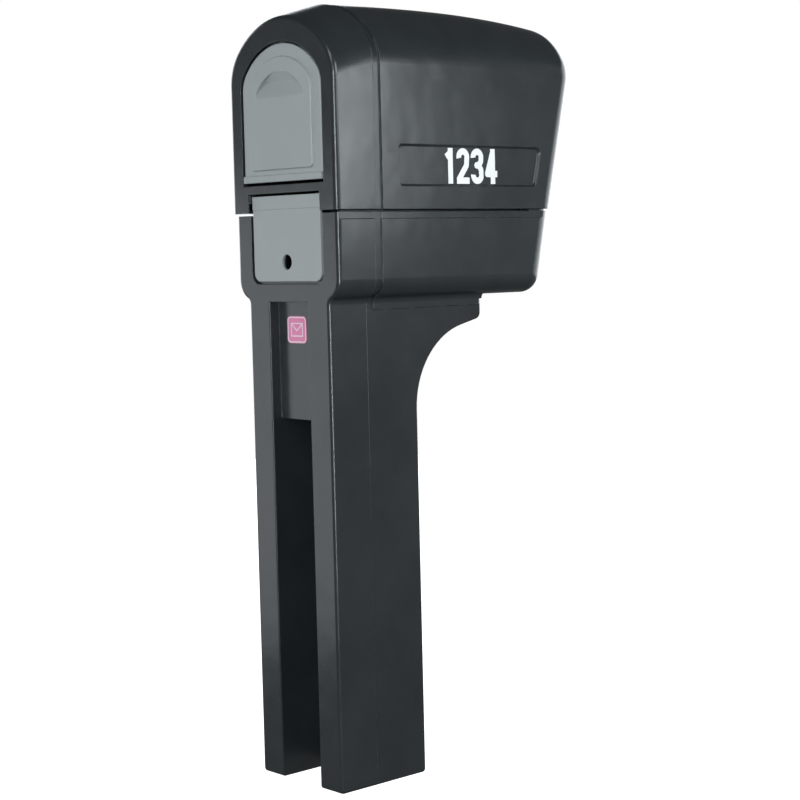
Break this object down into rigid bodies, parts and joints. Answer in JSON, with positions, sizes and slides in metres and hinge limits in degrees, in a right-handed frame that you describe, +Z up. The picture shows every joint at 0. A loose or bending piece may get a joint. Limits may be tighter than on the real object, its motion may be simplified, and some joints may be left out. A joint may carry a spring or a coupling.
{
  "type": "post-mounted mailbox",
  "caption": "Moulded mailbox with an arched hood, doors at both ends, a newspaper compartment below and a hollow sleeve that slides over a timber post.",
  "frame": {"origin": "on the axis of the timber post that the sleeve slides over, at ground level", "axes": "+Z up along the post, +Y towards the street, so the slot and small doors face -Y; +X is the side with the house numbers"},
  "size_m": [0.2885, 0.5897, 1.3312],
  "materials": {
    "black_polyethylene": "satin moulded",
    "grey_polyethylene": "satin moulded",
    "zinc_steel": "zinc plated",
    "ferrite": "sintered",
    "red_plastic": "satin moulded",
    "white_vinyl": "satin film",
    "badge_paper": "printed label"
  },
  "bodies": {
    "mailbox": {"lower_shell": "black_polyethylene", "hood": "black_polyethylene", "mail_floor": "black_polyethylene", "rear_door_hinge_pins": "zinc_steel", "front_door_hinge_pins": "zinc_steel", "newspaper_door_hinge_pins": "zinc_steel", "rear_door_magnet": "ferrite", "front_door_magnet": "ferrite", "flag_spacer": "black_polyethylene", "flag_pivot_bolt": "zinc_steel", "flag_washer": "zinc_steel", "flag_lock_nut": "zinc_steel", "hood_screws": "zinc_steel", "hood_screw_nuts": "zinc_steel", "post_screw_washers": "zinc_steel", "post_screws": "zinc_steel", "house_number_digit_1": "white_vinyl", "house_number_digit_2": "white_vinyl", "house_number_digit_3": "white_vinyl", "house_number_digit_4": "white_vinyl", "badge_sticker": "badge_paper"},
    "rear_door": {"rear_mail_door": "grey_polyethylene", "rear_door_strike_plate": "zinc_steel", "rear_strike_plate_screws": "zinc_steel"},
    "front_door": {"front_mail_door": "black_polyethylene", "front_door_strike_plate": "zinc_steel", "front_strike_plate_screws": "zinc_steel"},
    "newspaper_flap": {"newspaper_door": "grey_polyethylene"},
    "signal_flag": {"flag": "red_plastic"}
  },
  "joints": [
    {"name": "rear_door_hinge", "type": "hinge", "parent": "mailbox", "child": "rear_door", "pos_m": [0, -0.0738, 1.037], "axis": [1, 0, 0], "range_deg": [0, 90]},
    {"name": "front_door_hinge", "type": "hinge", "parent": "mailbox", "child": "front_door", "pos_m": [0, 0.44261, 1.03773], "axis": [-1, 0, 0], "range_deg": [0, 90]},
    {"name": "newspaper_door_hinge", "type": "hinge", "parent": "mailbox", "child": "newspaper_flap", "pos_m": [0, -0.0718, 1.003], "axis": [-1, 0, 0], "range_deg": [0, 85]},
    {"name": "flag_pivot", "type": "hinge", "parent": "mailbox", "child": "signal_flag", "pos_m": [-0.1435, 0.3457, 1.15], "axis": [-1, 0, 0], "range_deg": [0, 90]}
  ]
}
